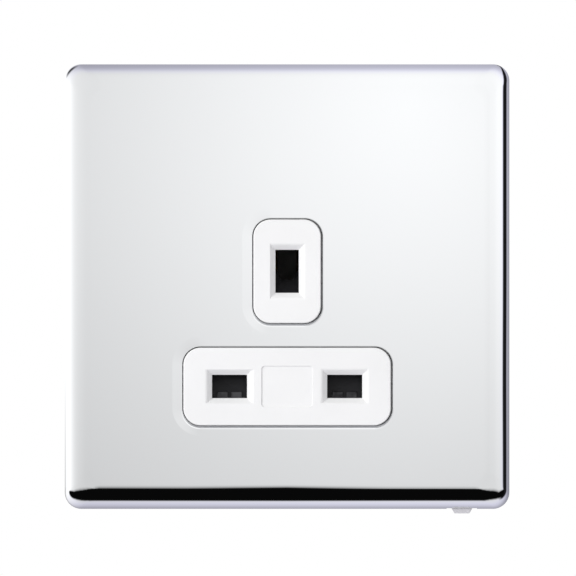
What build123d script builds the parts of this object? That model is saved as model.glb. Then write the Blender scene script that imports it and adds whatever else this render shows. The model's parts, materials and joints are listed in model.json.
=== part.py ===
from build123d import *
import math
import os

# An unswitched 13 A wall socket: a clip-on metal plate over a moulded socket with a sprung shutter.
# Sizes are in millimetres. The origin is the middle of the plate on the wall plane.
# X runs to the right as seen from the room, Y into the wall and Z up.

# Front plate, pressed from one sheet
plate_size = 86.0          # square, edge to edge
plate_depth = 5.0          # front face to the wall
plate_sheet = 0.8
plate_corner = 3.2         # corner radius of the outline
roll_radius = 4.0          # rolled edge between the face and the skirt
face_corner = 2.6          # corner radius where the flat face begins
roll_steps = 6             # narrow flats that stand for the rolled edge
opening_gap = 0.3          # between the plate and each boss
opening_bevel = 0.15       # broken edge of the sheet around each opening
notch_x = 33.8             # prising notch in the bottom edge
notch_width = 5.9
notch_depth = 2.1

# Plug pins, their pattern and the holes that take them
pin_pitch = 22.23          # line to neutral
pin_drop = 22.23           # earth down to line and neutral
earth_z = 2.95
live_pin_width = 6.35
live_pin_length = 17.7
earth_pin_width = 3.97
earth_pin_height = 7.92
earth_pin_length = 22.7
live_hole_width = 6.75
live_hole_height = 4.5
earth_hole_width = 4.5
earth_hole_height = 8.3
lead_in = 1.05             # bevel around each hole
lead_in_depth = 1.2

# Bosses of the moulding that stand through the plate
boss_proud = 1.0           # in front of the plate's face
boss_corner = 3.3
boss_bevel = 0.15          # broken front edge
earth_boss_width = 13.0
earth_boss_height = 20.0
live_boss_width = 40.0
live_boss_height = 15.0
panel_width = 9.9          # shallow bare panel between line and neutral
panel_height = 7.9
panel_corner = 0.6
panel_depth = 0.25

# Carrier frame that the plate is bonded to
carrier_gap = 0.2          # inside the plate's skirt
carrier_wall = 3.8
carrier_setback = 0.2      # back edge short of the wall
web_thickness = 1.0
web_gap = 0.4              # around the moulding's flange
driver_hole = 9.0          # room for the head of a box screw
barb_width = 6.0
barb_reach = 1.5
barb_height = 0.9
barb_gap = 0.1             # between barb and wing
stop_length = 5.0
stop_reach = 3.4           # stop pads, measured in from the carrier's wall
stop_width = 1.7
stop_gap = 0.05
tab_root = 3.9             # prise tab
tab_tip = 2.9
tab_proud = 0.85           # below the plate's bottom edge
tab_gap = 0.2              # in the plate's notch

# Mounting yoke
yoke_sheet = 1.2
yoke_gap = 1.2             # between the yoke and the carrier's wall
yoke_side_inset = 3.0      # the sides stand further in than top and bottom
yoke_corner = 3.0
yoke_block_gap = 0.3       # around the moulding's block
fixing_pitch = 60.3
fixing_slot_width = 4.0
fixing_slot_length = 6.0
wing_z = 14.0              # clip wings, above and below the middle
wing_width = 10.0
wing_relief = 0.6
wing_bend = 0.7
wing_tip_gap = 0.7         # between a wing's tip and the carrier's wall

# Front moulding behind the bosses
block_width = 43.0         # block that passes through the yoke
block_top = 21.5
block_bottom = -30.0
flange_lap = 4.5           # flange on the yoke's front, outside the block
flange_gap = 0.2           # behind the plate
flange_corner = 2.0
front_wall = 3.2           # boss front to shutter pocket
pocket_depth = 4.8
post_radius = 2.3
post_tail_gap = 0.4        # between a contact's tail and the cover's post beside it
post_z = -5.0
post_length = 7.0
pilot_radius = 1.35
pilot_floor = 1.0          # pilot holes run this far into the block
seat_width = 6.0           # pads in front of the line and neutral terminals
seat_height = 7.0
seat_gap = 0.05
spigot_radius = 0.9        # centres the foot of the spring
spigot_height = 1.5

# Shutter
shutter_play = 0.1         # front and back
shutter_side_gap = 0.25
blade_lap_side = 1.0       # blade beyond a pin hole
blade_lap_top = 0.25
blade_lap_bottom = 1.45
blade_lip = 0.8            # upright edge below the blade's slope
blade_lean = 1.3           # how far the slope falls back
blade_clear = 0.25         # hole edge to blade when open
blade_rib_width = 2.0
blade_rib_spacing = 2.7
blade_rib_rise = 1.2       # above the bottom edge of the hole
pocket_stop = 0.4          # spare room under the open blade
stem_width = 9.0
ramp_lap = 0.4             # ramp foot below the earth hole
ramp_clear = 0.2           # hole edge to ramp when open
ramp_notch_top = 4.5
ramp_notch_foot = 2.1
ramp_notch_depth = 2.3
spring_slot_gap = 0.5
spring_seat_rise = 3.8     # top of the spring slot above the blade

# Shutter spring
spring_radius = 1.8        # outside
spring_wire = 0.5
spring_turns = 4
spring_end_gap = 0.05
wire_sides = 4             # flats that stand for the round wire

# Retainer behind the shutter
retainer_thickness = 1.2
retainer_margin = 0.5      # inside the block's outline
retainer_top_gap = 0.6     # below the terminals
retainer_hole_gap = 0.4    # around each pin hole
post_gap = 0.15            # around each post

# Contacts and terminals
contact_sheet = 0.8
contact_gap = 0.3          # mouth to retainer
contact_grip = 0.15        # jaws closer than the pin, each side
contact_room = 0.3         # roots wider than the pin, each side
contact_flare = 1.0        # mouth wider than the pin, each side
contact_pinch = 3.2        # mouth to the narrowest place
contact_straight = 6.0     # mouth to the straight root of the earth leaves
contact_bend = 0.7
live_contact_height = 6.0
earth_contact_foot = 0.5   # below the earth pin
earth_bridge_gap = 1.0     # above the earth pin
tail_width = 5.4
pin_tip_gap = 0.3          # pin tip to contact base
terminal_width = 8.0
terminal_height = 9.0
terminal_play = 0.2        # below the cover's top wall and above its floor ribs
cable_bore = 5.0
bore_cover = 0.8           # metal in front of the cable bore
thread_radius = 1.75
thread_gap = 0.05
tail_hole_gap = 0.4        # around the screw
terminal_tip_gap = 0.2     # screw tip to cable bore
terminal_screw_length = 7.4
terminal_head_radius = 3.25
terminal_head_height = 2.4
driver_slot_width = 0.8
driver_slot_depth = 1.1

# Rear cover and its screws
cover_wall = 1.8
cover_gap = 0.7            # around the moulding's block
cover_corner = 3.0
earth_tip_gap = 0.5        # earth pin tip to rear wall
rib = 1.6                  # partitions
rib_gap = 0.1              # behind the retainer
chamber_floor = -6.0       # middle of the wall under the earth chamber
side_rib_gap = 0.5         # beside the line and neutral terminals
contact_pad = 5.0
terminal_pad_rise = 0.7
access_gap = 0.25          # around a terminal screw's head
cable_entry = 6.0
cover_post_radius = 3.4
cover_screw_radius = 1.3
cover_screw_gap = 0.3
cover_screw_end = 2.5      # tip of the screw behind the wall plane
cover_head_radius = 2.7
cover_head_height = 2.0
cover_head_gap = 0.2

# Earth strap, leaf spring and rivet
strap_sheet = 1.0
strap_width = 5.4
strap_foot = 1.0           # above the terminal's bottom
strap_joggle_gap = 0.4     # above the cover's top wall
strap_joggle = 2.0
strap_lap = 5.3            # flat on the yoke
strap_bend = 1.0
leaf_sheet = 0.3
leaf_width = 5.0
leaf_slope = 4.0
leaf_tip = 1.4
leaf_gap = 0.05            # leaf to plate
leaf_bend = 0.8
leaf_window_gap = 1.2
rivet_radius = 1.5
rivet_gap = 0.05
rivet_head_radius = 2.2
rivet_head_height = 0.9

# Levels along Y, from the front to the back
plate_front = -plate_depth
plate_back = plate_front + plate_sheet
boss_front = plate_front - boss_proud
web_back = plate_back + web_thickness
flange_front = plate_back + flange_gap
yoke_front = -yoke_sheet
pocket_front = boss_front + front_wall
block_back = pocket_front + pocket_depth
shutter_front = pocket_front + shutter_play
shutter_back = block_back - shutter_play
retainer_back = block_back + retainer_thickness
rib_front = retainer_back + rib_gap
contact_front = retainer_back + contact_gap
post_end = block_back + post_length
terminal_front = block_back + strap_sheet
terminal_back = boss_front + live_pin_length + pin_tip_gap
tail_back = terminal_back + contact_sheet
cover_inside = boss_front + earth_pin_length + earth_tip_gap
cover_back = cover_inside + cover_wall
bore_y = terminal_front + bore_cover + cable_bore / 2

# Places across the face
pin_x = pin_pitch / 2
live_z = earth_z - pin_drop
plate_half = plate_size / 2
carrier_half = plate_half - plate_sheet - carrier_gap
carrier_inner = carrier_half - carrier_wall
yoke_half_height = carrier_inner - yoke_gap
yoke_half_width = yoke_half_height - yoke_side_inset
wing_tip = carrier_inner - wing_tip_gap
wing_front = yoke_front - yoke_sheet
post_x = pin_x + tail_width / 2 + post_tail_gap + cover_post_radius
post_places = [(-post_x, post_z), (post_x, post_z)]
cover_top = block_top + cover_gap
terminal_top = cover_top - terminal_play
terminal_bottom = terminal_top - terminal_height
terminal_z = terminal_top - terminal_height / 2
terminal_places = {"neutral": -pin_x, "earth": 0.0, "line": pin_x}

# Shutter at rest, and the travel that uncovers the line and neutral holes
shutter_travel = live_hole_height + blade_lap_top + blade_clear
blade_top = live_z + live_hole_height / 2 + blade_lap_top
blade_bottom = live_z - live_hole_height / 2 - blade_lap_bottom
blade_half = pin_x + live_hole_width / 2 + blade_lap_side
ramp_foot = earth_z - earth_hole_height / 2 - ramp_lap
ramp_top = earth_z - earth_hole_height / 2 + shutter_travel - ramp_clear
pocket_bottom = blade_bottom - shutter_travel - pocket_stop
spring_top = blade_top + spring_seat_rise
spring_y = (shutter_front + shutter_back) / 2

# Strap and leaf above the cover
strap_bend_low = cover_top + cover_wall + strap_joggle_gap
strap_bend_high = strap_bend_low + strap_joggle
strap_end = strap_bend_high + strap_lap
rivet_z = (strap_bend_high + strap_end) / 2
leaf_foot_half = leaf_width / 2
leaf_rise_end = leaf_foot_half + leaf_slope
leaf_end = leaf_rise_end + leaf_tip


def front_plane(y):
    # local x is X, local y is Z, and the normal points at the viewer
    return Plane(origin=(0, y, 0), x_dir=(1, 0, 0), z_dir=(0, -1, 0))


def prism(sketch, y_from, y_to):
    # a sketch in X and Z, drawn out along Y
    return extrude(front_plane(y_to) * sketch, y_to - y_from)


def side_prism(sketch, x_from, x_to):
    # a sketch in Y and Z, drawn out along X
    plane = Plane(origin=(x_from, 0, 0), x_dir=(0, 1, 0), z_dir=(1, 0, 0))
    return extrude(plane * sketch, x_to - x_from)


def level_prism(sketch, z_from, z_to):
    # a sketch in X and Y, drawn out along Z
    return extrude(Plane.XY.offset(z_from) * sketch, z_to - z_from)


def block(x_range, y_range, z_range):
    ranges = (x_range, y_range, z_range)
    middle = [(low + high) / 2 for low, high in ranges]
    return Pos(*middle) * Box(*[high - low for low, high in ranges])


def upright(width, bottom, top, corner=0.0):
    # rectangle between two heights, on the middle line
    height = top - bottom
    outline = RectangleRounded(width, height, corner) if corner else Rectangle(width, height)
    return Pos(0, (bottom + top) / 2) * outline


def bent_strip(points, sheet, bend):
    # edge view of a folded strip along its middle line
    return trace(FilletPolyline(*points, radius=bend), sheet)


def both_sides(piece):
    return piece + mirror(piece, about=Plane.YZ)


def rolled_body(half, front, back, corner, roll):
    # square body with a straight skirt and a rolled front edge that softens at the corners
    skirt_front = front + roll
    skirt = prism(RectangleRounded(2 * half, 2 * half, corner), skirt_front, back)
    sections = []
    for step in range(roll_steps + 1):
        angle = math.pi / 2 * step / roll_steps
        inset = roll * (1 - math.cos(angle))
        size = 2 * (half - inset)
        radius = corner + (face_corner - corner) * inset / roll
        section = RectangleRounded(size, size, radius)
        sections.append(front_plane(skirt_front - roll * math.sin(angle)) * section)
    return skirt + loft(sections, ruled=True)


def boss_sketch(width, height, z, gap=0.0):
    return Pos(0, z) * RectangleRounded(width + 2 * gap, height + 2 * gap, boss_corner + gap)


def pin_hole_sketch(gap=0.0):
    live = Rectangle(live_hole_width + 2 * gap, live_hole_height + 2 * gap)
    earth = Rectangle(earth_hole_width + 2 * gap, earth_hole_height + 2 * gap)
    return Pos(0, earth_z) * earth + Pos(-pin_x, live_z) * live + Pos(pin_x, live_z) * live


def post_sketch(radius):
    return Sketch() + [Pos(x, z) * Circle(radius) for x, z in post_places]


def front_plate():
    outer = rolled_body(plate_half, plate_front, 0, plate_corner, roll_radius)
    inner = rolled_body(
        plate_half - plate_sheet, plate_back, 0, plate_corner - plate_sheet, roll_radius - plate_sheet
    )
    openings = boss_sketch(earth_boss_width, earth_boss_height, earth_z, opening_gap)
    openings += boss_sketch(live_boss_width, live_boss_height, live_z, opening_gap)
    notch = block(
        (notch_x - notch_width / 2, notch_x + notch_width / 2),
        (-notch_depth, plate_sheet),
        (-plate_half - plate_sheet, -plate_half + 2 * plate_sheet),
    )
    plate = outer - inner - prism(openings, plate_front, plate_back) - notch
    face = plate.faces().sort_by(Axis.Y)[0]
    rims = [edge for wire in face.inner_wires() for edge in wire.edges()]
    return chamfer(rims, opening_bevel)


def plate_carrier():
    back = -carrier_setback
    # the front edge is bevelled back to where the plate's flat face begins
    bevel = carrier_half - plate_half + roll_radius
    corner = bevel + face_corner + carrier_gap
    body = prism(RectangleRounded(2 * carrier_half, 2 * carrier_half, corner), plate_back, back)
    body = chamfer(body.faces().sort_by(Axis.Y)[0].edges(), bevel)
    body -= prism(Rectangle(2 * carrier_inner, 2 * carrier_inner), web_back, back)
    window = upright(
        block_width + 2 * (flange_lap + web_gap),
        block_bottom - flange_lap - web_gap,
        block_top + flange_lap + web_gap,
    )
    for side in (-1, 1):
        window += Pos(side * fixing_pitch / 2, 0) * Circle(driver_hole / 2)
    leaf_middle = (leaf_foot_half + leaf_end) / 2
    leaf_run = leaf_end - leaf_foot_half + leaf_window_gap
    window += Pos(leaf_middle, rivet_z) * Rectangle(leaf_run, leaf_width + 2 * leaf_window_gap)
    body -= prism(window, plate_back, web_back)
    return body + clip_barbs() + stop_pads() + prise_tab()


def clip_barbs():
    # hooks that catch behind the yoke's wings
    catch = wing_front + yoke_sheet + barb_gap
    barb = make_face(
        Polyline(
            (carrier_inner + barb_reach, catch),
            (carrier_inner - barb_reach, catch),
            (carrier_inner, catch + barb_height),
            (carrier_inner + barb_reach, catch + barb_height),
            close=True,
        )
    )
    barbs = Part()
    for z in (-wing_z, wing_z):
        barbs += both_sides(level_prism(barb, z - barb_width / 2, z + barb_width / 2))
    return barbs


def stop_pads():
    # pads that rest on the front of the wings
    pads = Part()
    inner = carrier_inner - stop_reach
    for z in (-wing_z, wing_z):
        pad = block(
            (inner, inner + stop_width),
            (web_back, wing_front - stop_gap),
            (z - stop_length / 2, z + stop_length / 2),
        )
        pads += both_sides(pad)
    return pads


def prise_tab():
    root = -carrier_half + carrier_gap
    outline = Polyline(
        (notch_x - tab_root / 2, root),
        (notch_x - tab_root / 2, -plate_half),
        (notch_x - tab_tip / 2, -plate_half - tab_proud),
        (notch_x + tab_tip / 2, -plate_half - tab_proud),
        (notch_x + tab_root / 2, -plate_half),
        (notch_x + tab_root / 2, root),
        close=True,
    )
    return prism(make_face(outline), -notch_depth + tab_gap, -carrier_setback)


def mounting_yoke():
    sheet = RectangleRounded(2 * yoke_half_width, 2 * yoke_half_height, yoke_corner)
    sheet -= upright(
        block_width + 2 * yoke_block_gap,
        block_bottom - yoke_block_gap,
        block_top + yoke_block_gap,
    )
    for side in (-1, 1):
        slot = SlotOverall(fixing_slot_length, fixing_slot_width)
        sheet -= Pos(side * fixing_pitch / 2, 0) * slot
        for z in (-wing_z, wing_z):
            relief = Rectangle(2 * yoke_sheet, wing_width + 2 * wing_relief)
            sheet -= Pos(side * yoke_half_width, z) * relief
    sheet -= Pos(0, rivet_z) * Circle(rivet_radius + rivet_gap)
    yoke = prism(sheet, yoke_front, 0)
    # each wing steps forward by one sheet, so that a barb can reach behind it
    wing_line = [
        (yoke_half_width - 2 * yoke_sheet, yoke_front / 2),
        (yoke_half_width - yoke_sheet / 2, yoke_front / 2),
        (yoke_half_width + yoke_sheet / 2, yoke_front / 2 - yoke_sheet),
        (wing_tip, yoke_front / 2 - yoke_sheet),
    ]
    wing = bent_strip(wing_line, yoke_sheet, wing_bend)
    for z in (-wing_z, wing_z):
        yoke += both_sides(level_prism(wing, z - wing_width / 2, z + wing_width / 2))
    return yoke


def boss(width, height, z):
    body = prism(boss_sketch(width, height, z), boss_front, flange_front + flange_gap)
    front = body.faces().sort_by(Axis.Y)[0]
    return chamfer(front.edges(), boss_bevel)


def lead_in_funnel(width, height, x, z):
    mouth = Rectangle(width + 2 * lead_in, height + 2 * lead_in)
    throat = Rectangle(width, height)
    return loft(
        [
            front_plane(boss_front + lead_in_depth) * Pos(x, z) * throat,
            front_plane(boss_front) * Pos(x, z) * mouth,
        ]
    )


def shutter_pocket():
    wide = 2 * (blade_half + shutter_side_gap)
    narrow = stem_width + 2 * shutter_side_gap
    blade_room = Rectangle(wide, blade_top + shutter_side_gap - pocket_bottom)
    stem_room = Rectangle(narrow, ramp_top + 2 * shutter_side_gap - pocket_bottom)
    sketch = Pos(0, (blade_top + shutter_side_gap + pocket_bottom) / 2) * blade_room
    sketch += Pos(0, (ramp_top + 2 * shutter_side_gap + pocket_bottom) / 2) * stem_room
    return prism(sketch, pocket_front, block_back)


def front_moulding():
    flange = upright(
        block_width + 2 * flange_lap, block_bottom - flange_lap, block_top + flange_lap, flange_corner
    )
    body = prism(flange, flange_front, yoke_front)
    body += prism(upright(block_width, block_bottom, block_top), yoke_front, block_back)
    body += boss(earth_boss_width, earth_boss_height, earth_z)
    body += boss(live_boss_width, live_boss_height, live_z)
    body += prism(post_sketch(post_radius), block_back, post_end)
    for side in (-1, 1):
        seat = Pos(side * pin_x, terminal_z) * Rectangle(seat_width, seat_height)
        body += prism(seat, block_back, terminal_front - seat_gap)
    body -= shutter_pocket()
    body -= prism(pin_hole_sketch(), boss_front, block_back)
    body -= lead_in_funnel(earth_hole_width, earth_hole_height, 0, earth_z)
    for side in (-1, 1):
        body -= lead_in_funnel(live_hole_width, live_hole_height, side * pin_x, live_z)
    panel = Pos(0, live_z) * RectangleRounded(panel_width, panel_height, panel_corner)
    body -= prism(panel, boss_front, boss_front + panel_depth)
    body -= prism(post_sketch(pilot_radius), block_back - pilot_floor, post_end)
    spigot = Pos(0, spring_y) * Circle(spigot_radius)
    return body + level_prism(spigot, pocket_bottom, pocket_bottom + spigot_height)


def shutter():
    blade = Polyline(
        (shutter_back, blade_bottom),
        (shutter_front, blade_bottom),
        (shutter_front, blade_bottom + blade_lip),
        (shutter_front + blade_lean, blade_top),
        (shutter_back, blade_top),
        close=True,
    )
    stem = Polyline(
        (shutter_back, blade_bottom),
        (shutter_front, blade_bottom),
        (shutter_front, ramp_foot),
        (shutter_back, ramp_top),
        close=True,
    )
    body = side_prism(make_face(blade), -blade_half, blade_half)
    body += side_prism(make_face(stem), -stem_width / 2, stem_width / 2)
    # two short ribs show at the foot of each line and neutral hole
    rib_top = live_z - live_hole_height / 2 + blade_rib_rise
    for hole_x in (-pin_x, pin_x):
        for side in (-1, 1):
            x = hole_x + side * blade_rib_spacing / 2
            body += block(
                (x - blade_rib_width / 2, x + blade_rib_width / 2),
                (shutter_front, shutter_front + blade_lean),
                (blade_bottom, rib_top),
            )
    # the ramp keeps two cheeks beside a tapered notch
    notch = Polyline(
        (-ramp_notch_top / 2, ramp_top),
        (-ramp_notch_foot / 2, ramp_top - ramp_notch_depth),
        (ramp_notch_foot / 2, ramp_top - ramp_notch_depth),
        (ramp_notch_top / 2, ramp_top),
        close=True,
    )
    body -= prism(make_face(notch), shutter_front, shutter_back)
    slot_half = spring_radius + spring_slot_gap
    return body - block((-slot_half, slot_half), (shutter_front, shutter_back), (blade_bottom, spring_top))


def shutter_spring():
    # compression coil between the pocket's foot and the top of the shutter's slot
    mean_radius = spring_radius - spring_wire / 2
    low = pocket_bottom + spring_end_gap + spring_wire / 2
    high = spring_top - spring_end_gap - spring_wire / 2
    coil = Helix((high - low) / spring_turns, high - low, mean_radius, center=(0, spring_y, low))
    section = Plane(origin=coil @ 0, z_dir=coil % 0) * RegularPolygon(spring_wire / 2, wire_sides)
    return sweep(section, path=coil, is_frenet=True)


def shutter_retainer():
    bottom = block_bottom + retainer_margin
    top = terminal_bottom - retainer_top_gap
    sheet = upright(block_width - 2 * retainer_margin, bottom, top)
    sheet -= pin_hole_sketch(retainer_hole_gap)
    sheet -= post_sketch(post_radius + post_gap)
    return prism(sheet, block_back, retainer_back)


def contact_tail(x, bottom):
    tail = block(
        (x - tail_width / 2, x + tail_width / 2), (terminal_back, tail_back), (bottom, terminal_top)
    )
    hole = Pos(x, terminal_z) * Circle(thread_radius + tail_hole_gap)
    return tail - prism(hole, terminal_back, tail_back)


def jaw_line(pin_width):
    # middle line of one leaf, from its mouth to the narrowest place, and the offset of its root
    half = pin_width / 2 + contact_sheet / 2
    mouth = (half + contact_flare, contact_front)
    pinch = (half - contact_grip, contact_front + contact_pinch)
    return mouth, pinch, half + contact_room


def live_contact(x):
    mouth, pinch, root = jaw_line(live_pin_width)
    base = terminal_back + contact_sheet / 2
    right = [mouth, pinch, (root, base)]
    left = [(-across, y) for across, y in reversed(right)]
    clip = Pos(x, 0) * bent_strip(right + left, contact_sheet, contact_bend)
    foot = live_z - live_contact_height / 2
    body = level_prism(clip, foot, foot + live_contact_height)
    return body + contact_tail(x, live_z)


def earth_contact():
    mouth, pinch, root = jaw_line(earth_pin_width)
    leaf_line = [mouth, pinch, (root, contact_front + contact_straight), (root, tail_back)]
    leaf = bent_strip(leaf_line, contact_sheet, contact_bend)
    bridge_bottom = earth_z + earth_pin_height / 2 + earth_bridge_gap
    bridge_top = bridge_bottom + contact_sheet
    foot = earth_z - earth_pin_height / 2 - earth_contact_foot
    bridge_half = root + contact_sheet / 2
    bridge = block(
        (-bridge_half, bridge_half),
        (contact_front + contact_straight + contact_bend, tail_back),
        (bridge_bottom, bridge_top),
    )
    return both_sides(level_prism(leaf, foot, bridge_top)) + bridge + contact_tail(0, bridge_bottom)


def terminal(x):
    body = block(
        (x - terminal_width / 2, x + terminal_width / 2),
        (terminal_front, terminal_back),
        (terminal_bottom, terminal_top),
    )
    body -= level_prism(Pos(x, bore_y) * Circle(cable_bore / 2), terminal_bottom, terminal_top)
    thread = Pos(x, terminal_z) * Circle(thread_radius + thread_gap)
    return body - prism(thread, bore_y, terminal_back)


def slotted_screw(x, z, tip, length, radius, head_radius, head_height):
    # the head faces the back and carries the driver slot
    under_head = tip + length
    head_back = under_head + head_height
    screw = prism(Pos(x, z) * Circle(radius), tip, under_head)
    screw += prism(Pos(x, z) * Circle(head_radius), under_head, head_back)
    slot = Pos(x, z) * Rectangle(2 * head_radius, driver_slot_width)
    return screw - prism(slot, head_back - driver_slot_depth, head_back)


def terminal_screw(x):
    tip = bore_y + cable_bore / 2 + terminal_tip_gap
    return slotted_screw(
        x,
        terminal_z,
        tip,
        terminal_screw_length,
        thread_radius,
        terminal_head_radius,
        terminal_head_height,
    )


def cover_screws():
    seat = cover_back - cover_head_height - cover_head_gap
    return Compound(
        children=[
            slotted_screw(
                x,
                z,
                cover_screw_end,
                seat - cover_screw_end,
                cover_screw_radius,
                cover_head_radius,
                cover_head_height,
            )
            for x, z in post_places
        ]
    )


def cover_partitions():
    # walls that keep line, earth and neutral apart and hold the retainer forward
    depth = (rib_front, cover_inside)
    low = block_bottom - cover_gap
    inner_x = pin_x / 2
    chamber = (chamber_floor - rib / 2, chamber_floor + rib / 2)
    walls = block((-inner_x - rib / 2, inner_x + rib / 2), depth, chamber)
    walls += block((-rib / 2, rib / 2), depth, (low, chamber_floor))
    side_x = pin_x + terminal_width / 2 + side_rib_gap
    floor = (terminal_bottom - terminal_play - rib, terminal_bottom - terminal_play)
    inner_wall = block((inner_x - rib / 2, inner_x + rib / 2), depth, (chamber[0], cover_top))
    side_wall = block((side_x, side_x + rib), depth, (floor[0], cover_top))
    # floor ribs carry the terminals and leave room for the contact tails behind them
    shelf = block((0, side_x), (rib_front, terminal_back - terminal_play), floor)
    return walls + both_sides(inner_wall + side_wall + shelf)


def cover_pads():
    # pads behind the contact bases and the foot of each tail
    depth = (tail_back, cover_inside)
    pads = Part()
    for side in (-1, 1):
        pads += block(
            (side * pin_x - contact_pad / 2, side * pin_x + contact_pad / 2),
            depth,
            (live_z - contact_pad / 2, live_z + contact_pad / 2),
        )
    for x in terminal_places.values():
        pads += block(
            (x - tail_width / 2, x + tail_width / 2),
            depth,
            (terminal_bottom - rib, terminal_bottom + terminal_pad_rise),
        )
    return pads


def rear_cover():
    low = block_bottom - cover_gap
    inner_width = block_width + 2 * cover_gap
    outline = upright(inner_width + 2 * cover_wall, low - cover_wall, cover_top + cover_wall, cover_corner)
    body = prism(outline, 0, cover_back)
    body -= prism(upright(inner_width, low, cover_top), 0, cover_inside)
    body += cover_partitions() + cover_pads()
    body += prism(post_sketch(cover_post_radius), post_end, cover_inside)
    body -= prism(post_sketch(cover_screw_radius + cover_screw_gap), post_end, cover_back)
    head_room = cover_head_height + cover_head_gap
    body -= prism(post_sketch(cover_head_radius + cover_head_gap), cover_back - head_room, cover_back)
    for x in terminal_places.values():
        access = Pos(x, terminal_z) * Circle(terminal_head_radius + access_gap)
        body -= prism(access, cover_inside, cover_back)
        entry = Pos(x, bore_y) * Circle(cable_entry / 2)
        entry += Pos(x, bore_y / 2) * Rectangle(cable_entry, bore_y)
        body -= level_prism(entry, cover_top, cover_top + cover_wall)
    return body


def earth_strap():
    back = block_back + strap_sheet / 2
    line = [
        (back, terminal_bottom + strap_foot),
        (back, strap_bend_low),
        (strap_sheet / 2, strap_bend_high),
        (strap_sheet / 2, strap_end),
    ]
    strap = side_prism(bent_strip(line, strap_sheet, strap_bend), -strap_width / 2, strap_width / 2)
    return strap - prism(Pos(0, rivet_z) * Circle(rivet_radius + rivet_gap), 0, strap_sheet)


def plate_earth_spring():
    # square foot on the yoke, then a leaf that rises sideways to the plate
    foot_y = yoke_front - leaf_sheet / 2
    tip_y = plate_back + leaf_gap + leaf_sheet / 2
    foot = [(-leaf_foot_half, foot_y), (leaf_foot_half, foot_y)]
    tip = [(leaf_rise_end, tip_y), (leaf_end, tip_y)]
    strip = bent_strip(foot + tip, leaf_sheet, leaf_bend)
    leaf = level_prism(strip, rivet_z - leaf_width / 2, rivet_z + leaf_width / 2)
    hole = Pos(0, rivet_z) * Circle(rivet_radius + rivet_gap)
    return leaf - prism(hole, yoke_front - leaf_sheet, yoke_front)


def earth_rivet():
    front = yoke_front - leaf_sheet
    rivet = prism(Pos(0, rivet_z) * Circle(rivet_radius), front, strap_sheet)
    head = Pos(0, rivet_z) * Circle(rivet_head_radius)
    rivet += prism(head, front - rivet_head_height, front)
    return rivet + prism(head, strap_sheet, strap_sheet + rivet_head_height)


pieces = {
    "front_plate": front_plate(),
    "plate_carrier": plate_carrier(),
    "mounting_yoke": mounting_yoke(),
    "front_moulding": front_moulding(),
    "shutter": shutter(),
    "shutter_spring": shutter_spring(),
    "shutter_retainer": shutter_retainer(),
    "line_contact": live_contact(terminal_places["line"]),
    "neutral_contact": live_contact(terminal_places["neutral"]),
    "earth_contact": earth_contact(),
    "rear_cover": rear_cover(),
    "cover_screws": cover_screws(),
    "earth_strap": earth_strap(),
    "plate_earth_spring": plate_earth_spring(),
    "earth_rivet": earth_rivet(),
}
for name, x in terminal_places.items():
    pieces[f"{name}_terminal"] = terminal(x)
    pieces[f"{name}_terminal_screw"] = terminal_screw(x)

os.makedirs("parts", exist_ok=True)
for name, piece in pieces.items():
    export_step(piece, f"parts/{name}.step")
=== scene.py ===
import bmesh
import bpy
import json
import math
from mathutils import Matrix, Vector


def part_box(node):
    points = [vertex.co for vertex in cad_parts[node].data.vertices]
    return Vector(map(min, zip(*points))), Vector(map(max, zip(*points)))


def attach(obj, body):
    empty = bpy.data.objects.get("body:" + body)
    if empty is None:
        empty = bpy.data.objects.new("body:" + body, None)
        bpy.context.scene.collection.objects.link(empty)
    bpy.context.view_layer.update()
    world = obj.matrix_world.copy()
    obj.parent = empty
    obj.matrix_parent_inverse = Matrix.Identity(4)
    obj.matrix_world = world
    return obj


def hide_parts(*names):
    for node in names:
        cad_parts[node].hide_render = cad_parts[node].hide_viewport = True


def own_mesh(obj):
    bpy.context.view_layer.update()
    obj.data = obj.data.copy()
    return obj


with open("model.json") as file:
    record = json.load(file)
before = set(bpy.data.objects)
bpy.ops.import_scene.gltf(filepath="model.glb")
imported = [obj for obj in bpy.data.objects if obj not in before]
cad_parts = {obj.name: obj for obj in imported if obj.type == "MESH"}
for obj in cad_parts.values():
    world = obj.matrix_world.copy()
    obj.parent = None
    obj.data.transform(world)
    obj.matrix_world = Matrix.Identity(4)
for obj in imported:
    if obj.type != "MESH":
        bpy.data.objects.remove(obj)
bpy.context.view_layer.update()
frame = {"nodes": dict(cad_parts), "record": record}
mm = 0.001
quarter = math.pi / 2
fullTurn = 2 * math.pi
weld = 0.001 * mm  # points nearer than this become one
print("frame loaded,", len(frame["nodes"]), "nodes")


# a node's output, which adds and multiplies like a plain number
class Field:
    def __init__(self, tree, socket):
        self.tree = tree
        self.socket = socket

    def __add__(self, other):
        return calc(self.tree, "ADD", self, other)

    def __radd__(self, other):
        return calc(self.tree, "ADD", other, self)

    def __sub__(self, other):
        return calc(self.tree, "SUBTRACT", self, other)

    def __rsub__(self, other):
        return calc(self.tree, "SUBTRACT", other, self)

    def __mul__(self, other):
        return calc(self.tree, "MULTIPLY", self, other)

    def __rmul__(self, other):
        return calc(self.tree, "MULTIPLY", other, self)

    def __truediv__(self, other):
        return calc(self.tree, "DIVIDE", self, other)


def setSocket(tree, socket, value):
    if isinstance(value, Field):
        value = value.socket
    if isinstance(value, bpy.types.NodeSocket):
        tree.links.new(value, socket)
    elif value is not None:
        socket.default_value = value


def addNode(tree, kind, settings=None, **inputs):
    node = tree.nodes.new(kind)
    for key, value in (settings or {}).items():
        setattr(node, key, value)
    for key, value in inputs.items():
        setSocket(tree, node.inputs[key.replace("_", " ")], value)
    return node


def calc(tree, operation, *values):
    node = addNode(tree, "ShaderNodeMath", {"operation": operation})
    for socket, value in zip(node.inputs, values):
        setSocket(tree, socket, value)
    return Field(tree, node.outputs[0])


def maths(operation, value, *others):
    return calc(value.tree, operation, value, *others)


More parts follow.
